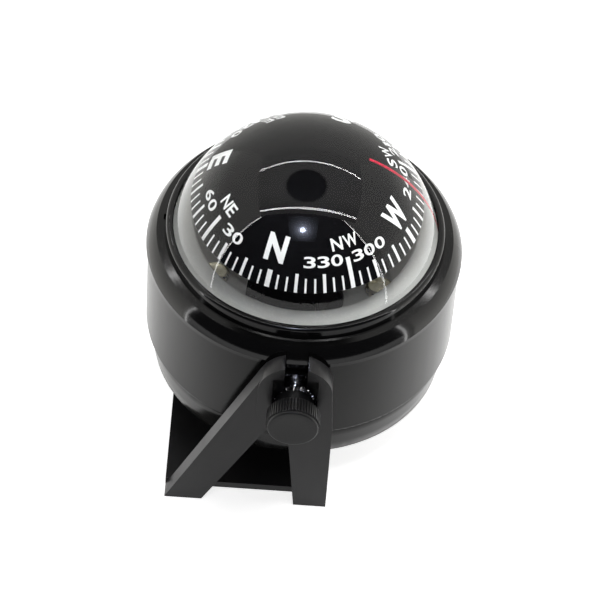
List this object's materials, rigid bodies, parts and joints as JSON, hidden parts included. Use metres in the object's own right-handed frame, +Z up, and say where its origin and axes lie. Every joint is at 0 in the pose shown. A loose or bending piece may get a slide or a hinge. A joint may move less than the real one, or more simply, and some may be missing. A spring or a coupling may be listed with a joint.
{
  "type": "bracket-mount dome compass",
  "caption": "Liquid-filled marine dome compass in a round case, tilting on two thumb-screws in an A-shaped mounting bracket.",
  "frame": {"origin": "on the bracket's screw-down face, straight below the middle of the pivot axis, which is also under the middle of the dome", "axes": "+Z up; the pivot axis runs along Y; +X is the bow side, where the lubber pin stands, and the bracket's back foot reaches towards -X"},
  "size_m": [0.076, 0.0965, 0.0787],
  "materials": {
    "bracket_charcoal": "fine moulded texture",
    "case_grey": "satin, finely moulded",
    "bezel_black": "semi-gloss",
    "dome_clear": "polished clear acrylic",
    "bowl_pale_grey": "satin",
    "card_black": "matte black with white print",
    "frame_black": "matte",
    "lubber_red": "painted wire",
    "brass": "machined",
    "steel": "machined",
    "polished_steel": "polished",
    "magnet_steel": "ground",
    "rubber": "matte",
    "jewel_ruby": "polished",
    "knob_black": "moulded, knurled rim"
  },
  "bodies": {
    "bracket": {"bracket": "bracket_charcoal"},
    "case": {"case": "case_grey", "bottom_cover": "case_grey", "bottom_screws": "steel", "bezel": "bezel_black", "dome": "dome_clear", "dome_gasket": "rubber", "flange_screws": "steel", "inner_bowl": "bowl_pale_grey", "filler_plug": "brass", "filler_plug_seal": "rubber", "bleed_plug": "brass", "bleed_plug_seal": "rubber", "diaphragm": "rubber", "diaphragm_ring": "steel", "pivot_frame": "frame_black", "frame_screws": "steel", "pivot_post": "steel", "lubber_pin": "lubber_red", "near_pivot_washer": "polished_steel", "far_pivot_washer": "polished_steel", "near_pivot_insert": "brass", "far_pivot_insert": "brass"},
    "jewel": {"jewel": "jewel_ruby"},
    "jewel_cup": {"jewel_cup": "brass"},
    "card": {"card_dial": "card_black", "card_float": "card_black", "magnet_holder": "frame_black", "card_magnets": "magnet_steel"},
    "near_clamp": {"near_clamp_washer": "polished_steel"},
    "near_thumb_screw": {"near_thumb_screw": "knob_black"},
    "far_clamp": {"far_clamp_washer": "polished_steel"},
    "far_thumb_screw": {"far_thumb_screw": "knob_black"},
    "fore_aft_compensator": {"fore_aft_compensator_rod": "brass", "fore_aft_compensator_magnet": "magnet_steel"},
    "athwart_compensator": {"athwart_compensator_rod": "brass", "athwart_compensator_magnet": "magnet_steel"}
  },
  "joints": [
    {"name": "case_tilt", "type": "hinge", "parent": "bracket", "child": "case", "pos_m": [0, 0, 0.0385], "axis": [0, 1, 0], "range_deg": [-17, 21]},
    {"name": "card_heel", "type": "hinge", "parent": "case", "child": "jewel", "pos_m": [0, 0, 0.0463], "axis": [1, 0, 0], "range_deg": [-10, 10]},
    {"name": "card_pitch", "type": "hinge", "parent": "jewel", "child": "jewel_cup", "pos_m": [0, 0, 0.0463], "axis": [0, 1, 0], "range_deg": [-10, 10]},
    {"name": "card_turn", "type": "hinge", "parent": "jewel_cup", "child": "card", "pos_m": [0, 0, 0.0463], "axis": [0, 0, 1], "continuous": true},
    {"name": "fore_aft_compensator_turn", "type": "hinge", "parent": "case", "child": "fore_aft_compensator", "pos_m": [0, 0, 0.016], "axis": [1, 0, 0], "continuous": true},
    {"name": "athwart_compensator_turn", "type": "hinge", "parent": "case", "child": "athwart_compensator", "pos_m": [-0.006, 0, 0.0192], "axis": [0, 1, 0], "continuous": true},
    {"name": "near_clamp_slide", "type": "slide", "parent": "case", "child": "near_clamp", "axis": [0, -1, 0], "range_m": [0, 0.0032]},
    {"name": "near_screw_turn", "type": "hinge", "parent": "near_clamp", "child": "near_thumb_screw", "pos_m": [0, -0.046, 0.0385], "axis": [0, -1, 0], "range_deg": [0, 1442]},
    {"name": "far_clamp_slide", "type": "slide", "parent": "case", "child": "far_clamp", "axis": [0, 1, 0], "range_m": [0, 0.0032]},
    {"name": "far_screw_turn", "type": "hinge", "parent": "far_clamp", "child": "far_thumb_screw", "pos_m": [0, 0.046, 0.0385], "axis": [0, 1, 0], "range_deg": [0, 1442]}
  ],
  "couplings": [
    {"joint": "near_screw_turn", "follows": "near_clamp_slide", "rad_per_m": 7854},
    {"joint": "far_screw_turn", "follows": "far_clamp_slide", "rad_per_m": 7854}
  ]
}
